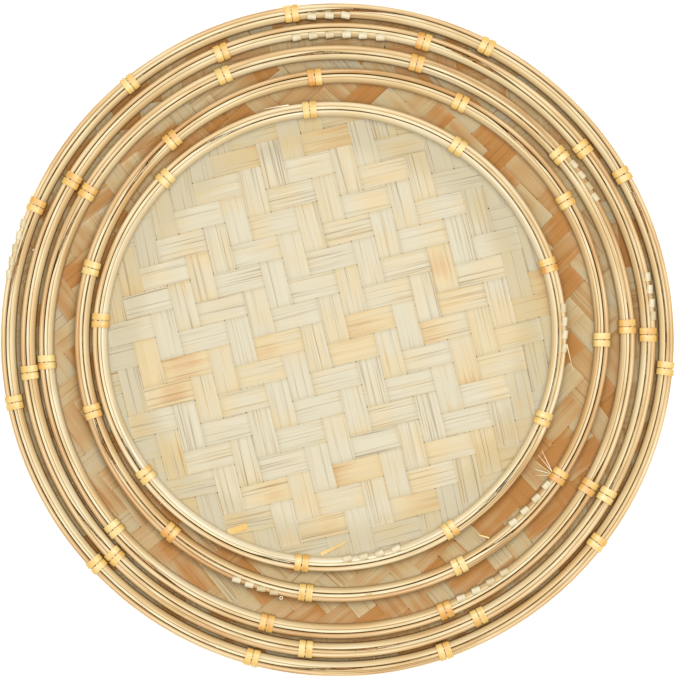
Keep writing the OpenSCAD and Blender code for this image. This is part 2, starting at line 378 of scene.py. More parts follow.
def bamboo(name, pale, tan, honey, vein, fibre, ribs, roughness, relief, patch):
    """fibre and patch are lengths in millimetres: the spacing of the fibres and of colour changes.
    A fibre is FIBRE_RUN times as long as it is wide, and bands and patches have runs of their own."""
    made, tree, shader = new_material(name)
    place = add(tree, "UVMap", {"uv_map": "fibres"})
    fine_at = add(tree, "Mapping", values={"Scale": (1 / fibre, 1 / (FIBRE_RUN * fibre), 1)},
                  links={"Vector": place.outputs[0]})
    fine = add(tree, "TexNoise", values={"Scale": 1, "Detail": 3, "Roughness": 0.6},
               links={"Vector": fine_at.outputs[0]})
    band_scale = (1 / (BAND_WIDTH * fibre), 1 / (BAND_RUN * fibre), 1)
    band_at = add(tree, "Mapping", values={"Scale": band_scale}, links={"Vector": place.outputs[0]})
    band = add(tree, "TexNoise", values={"Scale": 1, "Detail": 2},
               links={"Vector": band_at.outputs[0]})
    patch_at = add(tree, "Mapping", values={"Scale": (1 / (PATCH_WIDTH * patch), 1 / patch, 1)},
                   links={"Vector": place.outputs[0]})
    patches = add(tree, "TexNoise", values={"Scale": 1, "Detail": 1},
                  links={"Vector": patch_at.outputs[0]})
    tone = add(tree, "Attribute", {"attribute_name": "tone"})
    spread = add(tree, "MapRange", links={"Value": patches.outputs[0]},
                 values={"From Min": 0.35, "From Max": 0.65,
                         "To Min": -PATCH_SPREAD, "To Max": PATCH_SPREAD})
    ripple = add(tree, "MapRange", links={"Value": band.outputs[0]},
                 values={"From Min": 0.3, "From Max": 0.7,
                         "To Min": -BAND_SPREAD, "To Max": BAND_SPREAD})
    first = add(tree, "Math", {"operation": "ADD"},
                links={0: tone.outputs["Fac"], 1: spread.outputs[0]})
    second = add(tree, "Math", {"operation": "ADD", "use_clamp": True},
                 links={0: first.outputs[0], 1: ripple.outputs[0]})
    base = add(tree, "ValToRGB", links={0: second.outputs[0]})
    base.color_ramp.elements[0].color = colour(pale)
    base.color_ramp.elements[1].color = colour(honey)
    base.color_ramp.elements.new(0.5).color = colour(tan)
    streak = add(tree, "MapRange", links={"Value": fine.outputs[0]},
                 values={"From Min": 0.56, "From Max": 0.74, "To Min": 0, "To Max": ribs})
    # A colour Mix has its factor at 0 and its two colours at 6 and 7
    lined = add(tree, "Mix", {"data_type": "RGBA"}, {7: colour(vein)},
                {0: streak.outputs[0], 6: base.outputs[0]})
    tree.links.new(lined.outputs[2], shader.inputs["Base Color"])
    gloss = add(tree, "MapRange", links={"Value": fine.outputs[0]},
                values={"From Min": 0.3, "From Max": 0.7,
                        "To Min": roughness - 0.07, "To Max": roughness + 0.1})
    tree.links.new(gloss.outputs[0], shader.inputs["Roughness"])
    bump = add(tree, "Bump", values={"Strength": relief, "Distance": BAMBOO_RELIEF * MM},
               links={"Height": fine.outputs[0]})
    tree.links.new(bump.outputs[0], shader.inputs["Normal"])
    return made


# %% [markdown]
# There are six finishes. Each names its pale, tan and honey colour and the brown of its vessels,
# and then how its surface was worked. The fibres are drawn 0.3 to 0.75 mm apart, which is coarser
# than real ones, because finer ones would not show.

# %% The six finishes
FINISHES = {
    # Shaved from the soft inside of the cane: matt, pale, with open fibres that read as fine lines
    "woven_splits": bamboo("shaved_bamboo_split", "#C9BFA2", "#D0B988", "#BF8746", "#7A5628",
                           fibre=0.75, ribs=0.8, roughness=0.5, relief=0.8, patch=26),
    # Planed smooth: pale, with a soft sheen along the crest of the hoop
    "pale_lath": bamboo("planed_inner_lath", "#E8DBBB", "#DEC592", "#CB9F60", "#9C7440",
                        fibre=0.5, ribs=0.65, roughness=0.36, relief=0.5, patch=60),
    # Keeps some of its rind: the same sheen, but browner, with darker lines along it
    "tan_lath": bamboo("rind_outer_lath", "#E5D4AC", "#D8B780", "#BE8E50", "#86602F",
                       fibre=0.45, ribs=0.75, roughness=0.36, relief=0.6, patch=45),
    # Torn offcuts, left rough: dull and full of short dark lines
    "filler_lath": bamboo("rough_offcut_sliver", "#E6D8AE", "#D8BC86", "#BE9052", "#785428",
                          fibre=0.35, ribs=0.6, roughness=0.55, relief=0.9, patch=20),
    # Rattan peel: golden and a little glossy, so that each wrap has a highlight
    "golden_cane": bamboo("rattan_peel", "#E8CE8A", "#E4BA66", "#D6933E", "#A8702C",
                          fibre=0.3, ribs=0.35, roughness=0.38, relief=0.5, patch=5),
    # Bleached split: cream and matt, the lightest thing on the rims
    "cream_split": bamboo("bleached_split", "#D8CBA8", "#CBB78A", "#B89A66", "#94774A",
                          fibre=0.4, ribs=0.3, roughness=0.45, relief=0.4, patch=6),
}
print("finishes", sorted(FINISHES))


# %% [markdown]
# The fibres of a bent strip follow the bend. Unwrapping would have to find that out again from the
# mesh, but whoever lays a strip knows how far along it and across it each point lies, so those two
# lengths are written straight into the UV map.

# %% Fibre coordinates
def give_fibres(thing, across, along, tone):
    """A UV map in millimetres, U across the fibres and V along them, and the tone of each point."""
    mesh = thing.data
    corner_point = np.empty(len(mesh.loops), int)
    mesh.loops.foreach_get("vertex_index", corner_point)
    for layer in list(mesh.uv_layers):
        mesh.uv_layers.remove(layer)
    layer = mesh.uv_layers.new(name="fibres")
    layer.data.foreach_set("uv", np.column_stack([across, along])[corner_point].ravel())
    values = mesh.attributes.new("tone", "FLOAT", "POINT")
    values.data.foreach_set("value", np.broadcast_to(tone, len(mesh.vertices)).astype(np.float32))


# %% [markdown]
# ## The woven mats
# A twill mat is two layers of flat splits at right angles. Each passes over two and under two of
# the others, and each row starts one place further on, which draws the slanting steps. The mat is
# woven flat and then pressed into a dish, so each split is laid out flat here too, with its ups
# and downs, and then every point is carried to the dish: its distance from the middle is measured
# along the dish's section instead of along the floor. A pattern painted on a plain dish would be
# quicker, but it has no edges to catch the light where one split dives under another.

# %% The weave's numbers
SPLIT_T = 0.5
SPLIT_LIFT = 0.27
STEP_HALF = 1.3
STEP_CORE = 0.45
COLUMNS = np.array([-1, -0.9, -0.45, 0, 0.45, 0.9, 1])
CROWN = np.array([-0.1, -0.02, 0, 0, 0, -0.02, -0.1])
SHORTEST = 2.0
WEAVES = {
    1: SimpleNamespace(turn=13.6, pitch=10.06, start=(-1.7, -3.0), lean=1, age=0, vary=1),
    2: SimpleNamespace(turn=45, pitch=9.9, start=(1.5, 2.0), lean=1, age=0.4, vary=1.7),
    3: SimpleNamespace(turn=38, pitch=9.9, start=(3.0, -1.0), lean=-1, age=0.36, vary=1.7),
    4: SimpleNamespace(turn=8, pitch=9.9, start=(-2.0, 4.0), lean=1, age=0.44, vary=1.4),
    5: SimpleNamespace(turn=30, pitch=9.9, start=(4.0, 1.0), lean=-1, age=0.44, vary=1.4),
}


def weft_on_top(weave, column, row):
    """Over two and under two: the pattern repeats after four."""
    return (column - weave.lean * row - 1) % 4 < 2


print("splits", SPLIT_T, "mm thick,", WEAVES[1].pitch, "mm apart in basket 1")

# %% [markdown]
# Pressing is one function from a flat place to a place on the dish. The floor stays as it is, the
# bend and the wall follow the measured section, and the last part stands up between the hoops. The
# fold there is rounded over two millimetres, because a split that is folded sharply breaks.

# %% From the flat mat to the dish
FOLD = 2.0


def press(b, x, y, lift):
    s = np.hypot(x, y)
    around = np.arctan2(y, x)
    bent = np.clip((s - b.floor_r) / b.bend, 0, b.slope)
    climbed = np.clip(s - b.bend_end, 0, b.wall_end - b.bend_end)
    upright = np.clip(s - b.wall_end, 0, None)
    fold = np.clip((s - b.wall_end) / FOLD + 0.5, 0, 1)
    lean = bent + (math.pi / 2 - bent) * fold
    r = np.minimum(s, b.floor_r) + b.bend * np.sin(bent) + climbed * math.cos(b.slope)
    z = b.thick / 2 + b.bend * (1 - np.cos(bent)) + climbed * math.sin(b.slope) + upright
    r, z = r - lift * np.sin(lean), z + lift * np.cos(lean)
    return np.column_stack([b.middle[0] + r * np.cos(around), b.middle[1] + r * np.sin(around),
                            b.base + z])


# %% [markdown]
# One split starts as a grid primitive with seven points across it. Its rows stand close together
# where it steps over or under, and further apart between the steps. Points past the mat's round
# edge are drawn back to it along the split, and the faces that this flattens are merged away.

# %% Rows and heights of a split
def split_rows(pitch, start, reach, high_at):
    first = math.floor((-reach - start) / pitch)
    last = math.ceil((reach - start) / pitch)
    rows = [-reach, reach]
    for line in range(first, last + 1):
        at = start + line * pitch
        steps = high_at(line - 1) != high_at(line)
        step = [at - STEP_HALF, at - STEP_CORE, at + STEP_CORE, at + STEP_HALF]
        rows += step if steps else [at]
        rows += [at + pitch / 3, at + pitch * 2 / 3]
    return np.array(sorted(v for v in rows if abs(v) <= reach))


def split_lift(v, pitch, start, high_at):
    """Height of a split along its length: smooth steps at the lines between the crossing splits."""
    place = (v - start) / pitch
    line = np.round(place).astype(int)
    t = np.clip((place - line) * pitch / (2 * STEP_HALF) + 0.5, 0, 1)
    t = t * t * (3 - 2 * t)
    side = np.array([[1 if high_at(n - 1) else -1, 1 if high_at(n) else -1] for n in line])
    return SPLIT_LIFT * (side[:, 0] + (side[:, 1] - side[:, 0]) * t)


# %% One split, in millimetres: how far it strays, its gap to the next, and how ragged its end is
STRAY = 0.08
GAP_LEAST, GAP_MOST = 0.25, 0.6
END_SHORT, END_LONG = 0.9, 0.5
RIDGE = 0.03
SWAY_MOST = 0.12
SWAY_RUN = 23
EDGE_ROOM = 0.2


def add_split(b, weave, kind, number, tone):
    pitch = weave.pitch
    across_start, along_start = weave.start if kind == "warp" else weave.start[::-1]
    centre = across_start + (number + 0.5) * pitch + rng.uniform(-STRAY, STRAY)
    half = (pitch - rng.uniform(GAP_LEAST, GAP_MOST)) / 2
    edge_r = b.flat_r + rng.uniform(-END_SHORT, END_LONG)
    reach = edge_r - 0.05
    if abs(centre) - half > edge_r - SHORTEST:
        return None
    if kind == "warp":
        high_at = lambda row: not weft_on_top(weave, number, row)
    else:
        high_at = lambda column: weft_on_top(weave, column, number)
    rows = split_rows(pitch, along_start, reach, high_at)
    bpy.ops.mesh.primitive_grid_add(x_subdivisions=len(COLUMNS) - 1, y_subdivisions=len(rows) - 1,
                                    size=1)
    split = bpy.context.object
    spot = points_of(split) * MM
    column = np.round((spot[:, 0] + 0.5) * (len(COLUMNS) - 1)).astype(int)
    row = np.round((spot[:, 1] + 0.5) * (len(rows) - 1)).astype(int)
    ridges = CROWN + np.array([rng.uniform(-RIDGE, RIDGE) for _ in COLUMNS])
    sway, phase = rng.uniform(0, SWAY_MOST), rng.uniform(0, 6.3)
    u = centre + half * COLUMNS[column] + sway * np.sin(rows[row] / SWAY_RUN + phase)
    u = np.clip(u, EDGE_ROOM - edge_r, edge_r - EDGE_ROOM)
    limit = np.sqrt(edge_r ** 2 - u ** 2)
    v = np.clip(rows[row], -limit, limit)
    lift = split_lift(v, pitch, along_start, high_at) + ridges[column]
    turn = math.radians(weave.turn)
    x, y = (u, v) if kind == "warp" else (v, u)
    put_points(split, press(b, x * math.cos(turn) - y * math.sin(turn),
                            x * math.sin(turn) + y * math.cos(turn), lift))
    give_fibres(split, u + 61 * number, v + rng.uniform(0, 500), tone)
    return split


# %% [markdown]
# All the splits that run one way in a mat are joined to one piece, and the Solidify modifier gives
# them their half millimetre. Most splits are pale. Among those that run across, nearly half come
# from nearer the rind and are tan, as they are when a maker works through a bundle. The larger
# baskets are further along: age moves all their splits towards tan, and vary sets them apart.

# %% Weave a mat
NEAR_RIND = {"warp": 0.12, "weft": 0.45}
RIND_TONES = (0.25, 0.45)
PALE_TONES = (0.0, 0.18)


def weave_layer(b, weave, kind):
    count = math.ceil(b.flat_r / weave.pitch) + 1
    splits = []
    for number in range(-count, count):
        near_rind = rng.random() < NEAR_RIND[kind]
        tone = rng.uniform(*(RIND_TONES if near_rind else PALE_TONES))
        tone = weave.age + weave.vary * tone
        splits.append(add_split(b, weave, kind, number, tone))
    layer = join(f"{kind}_splits_{b.k}", [split for split in splits if split])
    edit()
    bpy.ops.object.mode_set(mode="EDIT")
    bpy.ops.mesh.select_all(action="SELECT")
    bpy.ops.mesh.remove_doubles(threshold=2e-6)
    bpy.ops.mesh.dissolve_degenerate(threshold=1e-6)
    bpy.ops.object.mode_set(mode="OBJECT")
    apply_modifier(layer, "SOLIDIFY", thickness=SPLIT_T * MM, offset=0)
    smooth_by_angle(layer)
    return layer


pieces = []
for b in baskets.values():
    for kind in ("warp", "weft"):
        layer = weave_layer(b, WEAVES[b.k], kind)
        pieces.append((layer, b.k, "woven_splits", f"mat_{b.k}"))
        print(layer.name, len(layer.data.polygons), "faces")


# %% [markdown]
# ## The hoops
# A hoop is a lath split from the cane's wall, planed to a rounded edge and bent round. The lath's
# section is drawn as a ring of points and spun round the basket's axis in edit mode. The two ends
# are cut on a long slant so that they lie side by side under the lashing. Bamboo splits along its
# fibres, so a fine crack runs along the top of the lath for part of its length. A curve with a
# bevel would draw a hoop in one line, but neither the crack nor the slanted ends could vary on it.

# %% Section of a lath
EDGE_STEPS = 7
ROUND_SHARE = 0.45
FALL_CURVE = 1.6
CRACK_W = 0.22
CRACK_ROOM = 0.08
SLOT_EDGE = 0.3
FOOT_ROUND = 0.7
FOOT_W = 0.6


def lath_section(width, height, fall, crack_at, slot_side):
    """Points round a lath's section, from its inner foot, about its middle in x and its foot in z.
    The crest falls away towards the basket's inside by fall, and its edge on the slot's side (-1
    or 1) is left nearly square, so that the slivers lie flush with it."""
    half, round_h = width / 2, width * ROUND_SHARE

    def crest_z(x):
        drop = round_h * (1 - math.sqrt(max(0, 1 - (x / half) ** 2)))
        square = SLOT_EDGE if x * slot_side > 0 else 1
        return height - drop * square - fall * ((half - x) / width) ** FALL_CURVE

    turns = [math.pi - math.pi * i / EDGE_STEPS for i in range(EDGE_STEPS + 1)]
    crest = [half * math.cos(t) for t in turns]
    crack = [crack_at * half + side * CRACK_W / 2 for side in (-1, 0, 1)]
    left = [x for x in crest if x < crack[0] - CRACK_ROOM]
    right = [x for x in crest if x > crack[2] + CRACK_ROOM]
    top = [(x, crest_z(x)) for x in left + crack + right]
    side_z, foot_x = round_h * FOOT_ROUND, half * FOOT_W
    foot = [(half, side_z), (foot_x, 0.0), (-foot_x, 0.0), (-half, side_z)]
    return top + foot, len(left) + 1


def wave(around, seed, low, high):
    """A slow random wave round the rim, between low and high, the same for the same seed."""
    draw = random.Random(seed)
    total, most = 0, 0
    for turns in (1, 2, 3, 5, 8):
        size = draw.uniform(0.4, 1) / turns ** 0.5
        total = total + size * np.sin(turns * around + draw.uniform(0, 6.3))
        most += size
    return low + (high - low) * (0.5 + 0.5 * total / most)


# %% [markdown]
# Spin turns the section round the axis and leaves a ring that is open by a hair at the joint, where
# its two ends are filled. Then each point is moved a little: the ends slide past each other on the
# slant, the crest dips, the sides thin in places, and the crack opens where its wave is above zero.

# %% Bend a lath
HOOP_STEPS = 232
END_GAP = 0.25
SCARF_LENGTHS = 4.2
DIP = 0.45
CRACK_CLOSED, CRACK_OPEN, CRACK_DEPTH = -4.2, 1.4, 0.6
THINNEST = 0.9


def bend_lath(name, b, low_r, high_r, z_low, z_high, joint, seed, tone, fall, crack_at, slot_side):
    """A lath between two radii, spun from just past the joint all the way round to it."""
    width, height = high_r - low_r, z_high - z_low
    middle_r = (low_r + high_r) / 2
    section, crack_point = lath_section(width, height, fall, crack_at, slot_side)
    bpy.ops.object.select_all(action="DESELECT")
    bpy.ops.mesh.primitive_circle_add(vertices=len(section), fill_type="NOTHING")
    lath = bpy.context.object
    put_points(lath, np.array([(middle_r + x, 0, z) for x, z in section]))
    mesh = lath.data
    mark = mesh.attributes.new("section_point", "INT", "POINT")
    mark.data.foreach_set("value", np.arange(len(section)))
    gap = END_GAP / middle_r
    bpy.ops.object.mode_set(mode="EDIT")
    bpy.ops.mesh.select_all(action="SELECT")
    bpy.ops.mesh.spin(steps=HOOP_STEPS, angle=-(2 * math.pi - gap), center=(0, 0, 0),
                      axis=(0, 0, 1), use_auto_merge=False)
    bpy.ops.mesh.select_all(action="DESELECT")
    bpy.ops.mesh.select_non_manifold()
    bpy.ops.mesh.fill_holes(sides=0)
    bpy.ops.mesh.select_all(action="SELECT")
    bpy.ops.mesh.normals_make_consistent(inside=False)
    bpy.ops.object.mode_set(mode="OBJECT")
    point = np.empty(len(lath.data.vertices), int)
    lath.data.attributes["section_point"].data.foreach_get("value", point)
    lath.data.attributes.remove(lath.data.attributes["section_point"])
    at = points_of(lath)
    around = (np.arctan2(at[:, 1], at[:, 0]) + 1e-6) % (2 * math.pi)
    q = (np.hypot(at[:, 0], at[:, 1]) - middle_r) / (width / 2)
    z = at[:, 2]
    scarf = SCARF_LENGTHS * width / middle_r
    near = np.maximum(0, 1 - np.minimum(around, 2 * math.pi - around) / (3 * scarf))
    turned = around + gap / 2 + math.radians(joint) + q * scarf / 2 * near
    top = z / height
    dip = wave(turned, seed, -DIP, 0.0) * top
    opened = np.clip(wave(turned, seed + 1, CRACK_CLOSED, CRACK_OPEN), 0, CRACK_DEPTH)
    depth = opened * (point == crack_point)
    swell = wave(turned, seed + 2, THINNEST, 1.0)
    radius = middle_r + q * width / 2 * swell
    put_points(lath, np.column_stack([b.middle[0] + radius * np.cos(turned),
                                      b.middle[1] + radius * np.sin(turned),
                                      z_low + z + dip - depth]))
    give_fibres(lath, q * width / 2 + z + 40 * seed, turned * middle_r, tone)
    lath.name = lath.data.name = name
    smooth_by_angle(lath, 50)
    return lath


# %% [markdown]
# Each basket gets its two hoops. Their joints are where the lashings are, their crests fall inwards
# by a millimetre and a half on the inside hoop and hardly at all on the outside one, and RIM_AGE
# says how far each basket's laths have aged.

# %% Bend the hoops
INNER_FALL, OUTER_FALL = 1.5, 0.2
RIM_AGE = {1: 0.12, 2: 0.5, 3: 0.5, 4: 0.25, 5: 0.4}


def joint_of(turns):
    """The direction midway in a lashing, whose turns may lie either side of 0."""
    x = sum(math.cos(math.radians(a)) for a in turns)
    y = sum(math.sin(math.radians(a)) for a in turns)
    return math.degrees(math.atan2(y, x))


for b in baskets.values():
    inner = bend_lath(f"inner_lath_{b.k}", b, *b.inner, b.foot, b.top, joint_of(inner_turns[b.k]),
                      10 * b.k + 1, rng.uniform(0, 0.3) + RIM_AGE[b.k], INNER_FALL,
                      rng.uniform(-0.3, 0.4), slot_side=1)
    outer = bend_lath(f"outer_lath_{b.k}", b, *b.outer, b.foot, b.top, joint_of(outer_turns[b.k]),
                      10 * b.k + 5, rng.uniform(0.05, 0.45) + RIM_AGE[b.k], OUTER_FALL,
                      rng.uniform(-0.4, 0.3), slot_side=-1)
    pieces.append((inner, b.k, "pale_lath", f"inner_hoop_{b.k}"))
    pieces.append((outer, b.k, "tan_lath", f"outer_hoop_{b.k}"))
    print(inner.name, len(inner.data.polygons), outer.name, len(outer.data.polygons))


# %% [markdown]
# ## The slivers between the hoops
# The slot between the hoops, over the mat's cut edge, is filled with thin offcuts laid one after
# the other. Each is a flat bar, spun through part of the circle, whose ends run out to a point and
# mostly overlap the next one. They lie tight against one hoop, so one thin dark line stays open
# beside them. One ring would fill the slot as well, but it would look machined.

# %% Bend a sliver
SLIVER_STEP = math.radians(1.6)
SLIVER_H = 1.1
POINT_SWEEP = math.radians(9)
POINT_WIDTH = 0.12
SLIVER_THINNEST = 0.78


def bend_sliver(b, slot, start, sweep, width, side, rise, seed):
    section = [(-1, -1), (-1, 0.85), (-0.85, 1), (0.85, 1), (1, 0.85), (1, -1)]
    bpy.ops.mesh.primitive_circle_add(vertices=len(section), fill_type="NOTHING")
    sliver = bpy.context.object
    middle_r = (slot[0] + slot[1]) / 2
    put_points(sliver, np.array([(middle_r + x, 0, z) for x, z in section]))
    steps = max(8, round(sweep / SLIVER_STEP))
    bpy.ops.object.mode_set(mode="EDIT")
    bpy.ops.mesh.select_all(action="SELECT")
    bpy.ops.mesh.spin(steps=steps, angle=-sweep, center=(0, 0, 0), axis=(0, 0, 1),
                      use_auto_merge=False)
    bpy.ops.mesh.select_all(action="DESELECT")
    bpy.ops.mesh.select_non_manifold()
    bpy.ops.mesh.fill_holes(sides=0)
    bpy.ops.mesh.select_all(action="SELECT")
    bpy.ops.mesh.normals_make_consistent(inside=False)
    bpy.ops.object.mode_set(mode="OBJECT")
    at = points_of(sliver)
    around = (np.arctan2(at[:, 1], at[:, 0]) + 1e-6) % (2 * math.pi)
    q, z = np.hypot(at[:, 0], at[:, 1]) - middle_r, at[:, 2]
    turned = around + start
    taper = np.clip(np.minimum(around, sweep - around) / POINT_SWEEP, POINT_WIDTH, 1)
    room = slot[1] - slot[0] - width
    kept = taper * wave(turned, seed + 1, SLIVER_THINNEST, 1.0)
    radius = middle_r + side * (room + width * (1 - kept)) / 2 + q * width / 2 * kept
    lift = rise + wave(turned, seed + 2, -0.35, 0.2)
    put_points(sliver, np.column_stack([b.middle[0] + radius * np.cos(turned),
                                        b.middle[1] + radius * np.sin(turned),
                                        b.top - SLIVER_H + lift + z * SLIVER_H * taper]))
    give_fibres(sliver, q * width / 2 + z * SLIVER_H + 30 * seed, turned * middle_r,
                random.Random(seed).uniform(0, 0.6))
    return sliver


# %% Fill the slots
SLOT_ROOM = 0.05
for b in baskets.values():
    slot = (b.inner[1] + SLOT_ROOM, b.outer[0] - SLOT_ROOM)
    slivers, start, seed = [], rng.uniform(0, 6.3), 100 * b.k
    end = start + 2 * math.pi
    while start < end:
        sweep = math.radians(rng.uniform(48, 120))
        bpy.ops.object.select_all(action="DESELECT")
        side = rng.choice((-1, 1))
        slivers.append(bend_sliver(b, slot, start, sweep, rng.uniform(1.16, 1.3), side,
                                   rng.uniform(-0.1, 0.1), seed))
        start += sweep - math.radians(rng.uniform(-2, 8))
        seed += 7
    filler = join(f"filler_slivers_{b.k}", slivers)
    smooth_by_angle(filler, 45)
    pieces.append((filler, b.k, "filler_lath", f"filler_{b.k}"))
    print(filler.name, len(slivers), "slivers")


# %% [markdown]
# ## The ties and lashings
# A wrap is a flat strip of cane pulled round the rim. It starts as a cube of the rim's section,
# whose four long edges are bevelled to the bend that the cane takes. Its two open sides are
# deleted, the faces are divided across so that their middle can be crowned, and Solidify gives it
# its thickness inwards. It is made once for each rim section and copied. A torus would give the
# round cane of a cord; this cane is a flat peel that folds round corners.

# %% One wrap
BEND_SEGMENTS = 4
ACROSS = 0.5
WIDEN = 1.6


def wrap_band(name, low_x, high_x, low_z, high_z, width, corner, thick, crown):
    """A closed flat band round a section in x and z, width wide along y, centred on y = 0."""
    bpy.ops.object.select_all(action="DESELECT")
    bpy.ops.mesh.primitive_cube_add(
        size=MM, location=Vector(((low_x + high_x) / 2, 0, (low_z + high_z) / 2)) * MM,
        scale=(high_x - low_x, width, high_z - low_z))
    band = bpy.context.object
    bpy.ops.object.transform_apply(location=True, rotation=False, scale=True)
    edit("EDGE")
    for edge in band.data.edges:
        a, c = (band.data.vertices[i].co for i in edge.vertices)
        edge.select = abs(a.y - c.y) > ACROSS * width * MM
    bpy.ops.object.mode_set(mode="EDIT")
    bpy.ops.mesh.bevel(offset=corner * MM, segments=BEND_SEGMENTS, affect="EDGES")
    bpy.ops.mesh.select_mode(type="FACE")
    bpy.ops.mesh.select_all(action="DESELECT")
    bpy.ops.object.mode_set(mode="OBJECT")
    for face in band.data.polygons:
        face.select = abs(face.normal.y) > 0.9
    bpy.ops.object.mode_set(mode="EDIT")
    bpy.ops.mesh.delete(type="ONLY_FACE")
    bpy.ops.mesh.select_mode(type="EDGE")
    bpy.ops.object.mode_set(mode="OBJECT")
    for edge in band.data.edges:
        a, c = (band.data.vertices[i].co for i in edge.vertices)
        edge.select = abs(a.y - c.y) > ACROSS * width * MM
    bpy.ops.object.mode_set(mode="EDIT")
    bpy.ops.mesh.subdivide(number_cuts=2)
    bpy.ops.object.mode_set(mode="OBJECT")
    at = points_of(band)
    middle = np.array([(low_x + high_x) / 2, 0, (low_z + high_z) / 2])
    inside = abs(at[:, 1]) < width * 0.4
    away = at[inside] - middle
    away[:, 1] = 0
    at[inside] += crown * away / np.linalg.norm(away, axis=1)[:, None]
    at[inside, 1] *= WIDEN
    put_points(band, at)
    apply_modifier(band, "SOLIDIFY", thickness=thick * MM, offset=-1, use_even_offset=True)
    band.name = band.data.name = name
    at = points_of(band)
    give_fibres(band, at[:, 1], at[:, 0] - at[:, 2], 0)
    return band


# %% [markdown]
# A copy of a band is twisted a little where it lies and then turned to its place on the rim. Its
# mesh is moved, not its object, and its fibres start at a new place, so no two wraps look the same.

# %% A turned copy
def turned_copy(master, name, middle, degrees, yaw, pivot_r, shift, tone):
    made = copy_of(master, name)
    to_axis = Matrix.Translation((-pivot_r * MM, 0, 0))
    from_axis = Matrix.Translation((pivot_r * MM, shift * MM, 0))
    twist = from_axis @ Matrix.Rotation(math.radians(yaw), 4, "Z") @ to_axis
    to_basket = Matrix.Translation((middle[0] * MM, middle[1] * MM, 0))
    made.data.transform(to_basket @ Matrix.Rotation(math.radians(degrees), 4, "Z") @ twist)
    values = made.data.attributes["tone"].data
    values.foreach_set("value", np.full(len(values), tone, np.float32))
    layer = made.data.uv_layers["fibres"].data
    uv = np.empty(len(layer) * 2)
    layer.foreach_get("uv", uv)
    layer.foreach_set("uv", (uv.reshape(-1, 2) + (rng.uniform(0, 300), rng.uniform(0, 300))).ravel())
    return made


# %% [markdown]
# A tie is two wraps side by side round the whole rim. The pair leans one way by up to a degree and
# a half and fans apart by less than one, and both come from the same peel, so their tones are close.

# %% Ties
TIE_W, TIE_T, TIE_CORNER, TIE_CROWN = 2.68, 0.5, 2.0, 0.07
TIE_PITCH = 3.4
YAW_MOST, FAN_MOST = 1.5, 0.8
for b in baskets.values():
    low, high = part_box(f"ties_{b.k}")
    low_z, high_z = low.z / MM, high.z / MM
    out_r = b.outer[1] + (high_z - b.top)
    in_r = b.inner[0] - (high_z - b.top)
    band = wrap_band("wrap", in_r, out_r, low_z, high_z, TIE_W, TIE_CORNER, TIE_T, TIE_CROWN)
    copies = []
    for first, second in zip(wraps[b.k][0::2], wraps[b.k][1::2]):
        yaw, fan = rng.uniform(-YAW_MOST, YAW_MOST), rng.uniform(0, FAN_MOST)
        tone = rng.uniform(0.25, 0.65)
        for direction, side in ((first, -1), (second, 1)):
            apart = side * TIE_PITCH * math.sin(math.radians(fan)) / 2
            copies.append(turned_copy(band, "wrap", b.middle, direction, yaw + side * fan / 2,
                                      b.rim_r, apart, tone + rng.uniform(-0.1, 0.1)))
    bpy.data.objects.remove(band)
    tie = join(f"cane_ties_{b.k}", copies)
    smooth_by_angle(tie, 40)
    pieces.append((tie, b.k, "golden_cane", f"ties_{b.k}"))
    print(tie.name, len(copies), "wraps", len(tie.data.polygons), "faces")

# %% [markdown]
# A lashing winds round one hoop only, over its slanted joint, so its turns all lean the same way
# and each a little differently. Their middles are crowned, as a split is on its rind side.

# %% Lashings
TURN_W, TURN_T, TURN_CORNER, TURN_CROWN = 3.6, 0.4, 0.9, 0.08
SLANT_LEAST, SLANT_MOST = 5, 10
SLANT_STRAY = 2
for b in baskets.values():
    for which, turns in (("inner", inner_turns[b.k]), ("outer", outer_turns[b.k])):
        low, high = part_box(f"{which}_lashing_{b.k}")
        low_r, high_r = b.inner if which == "inner" else b.outer
        proud = high.z / MM - b.top
        low_r, high_r = (low_r - proud, high_r) if which == "inner" else (low_r, high_r + proud)
        band = wrap_band("turn", low_r, high_r, low.z / MM, high.z / MM, TURN_W, TURN_CORNER,
                         TURN_T, TURN_CROWN)
        slant = rng.choice((-1, 1)) * rng.uniform(SLANT_LEAST, SLANT_MOST)
        copies = []
        for direction in turns:
            yaw = slant + rng.uniform(-SLANT_STRAY, SLANT_STRAY)
            copies.append(turned_copy(band, "turn", b.middle, direction, yaw, (low_r + high_r) / 2,
                                      rng.uniform(-0.2, 0.2), rng.uniform(0, 0.5)))
        bpy.data.objects.remove(band)
        lashing = join(f"{which}_joint_lashing_{b.k}", copies)
        smooth_by_angle(lashing, 40)
        pieces.append((lashing, b.k, "cream_split", f"{which}_lashing_{b.k}"))
        print(lashing.name, len(copies), "turns", len(lashing.data.polygons), "faces")

# %% [markdown]
# ## Loose ends
# Hand work leaves ends. A cane is cut off square or torn to a point where it is tucked under a rim,
# fibres lift off the laths or fan out from under a wrap, and a short hollow reed is wedged beside
# one hoop. A loose end is a cube, divided along its length, tapered and laid from one place to
# another; a particle system would grow fibres by the hundred, and here each one has its own place.
# Places are given as a direction round the basket and a distance inwards from the rim's middle,
# and a mat's own shape tells how high its surface is there.

# %% A strip laid from one place to another
OUTLINE_POINTS = 400
STRIP_CUTS = 7


def mat_surface(b, x, y, lift):
    """The point on or over the mat above a place in plan, which is measured from the middle."""
    flat = np.linspace(0, b.flat_r, OUTLINE_POINTS)
    outline = press(b, flat, flat * 0, flat * 0)
    s = np.interp(math.hypot(x, y), outline[:, 0] - b.middle[0], flat)
    along = math.atan2(y, x)
    return press(b, np.array([s * math.cos(along)]), np.array([s * math.sin(along)]),
                 np.array([lift]))[0]


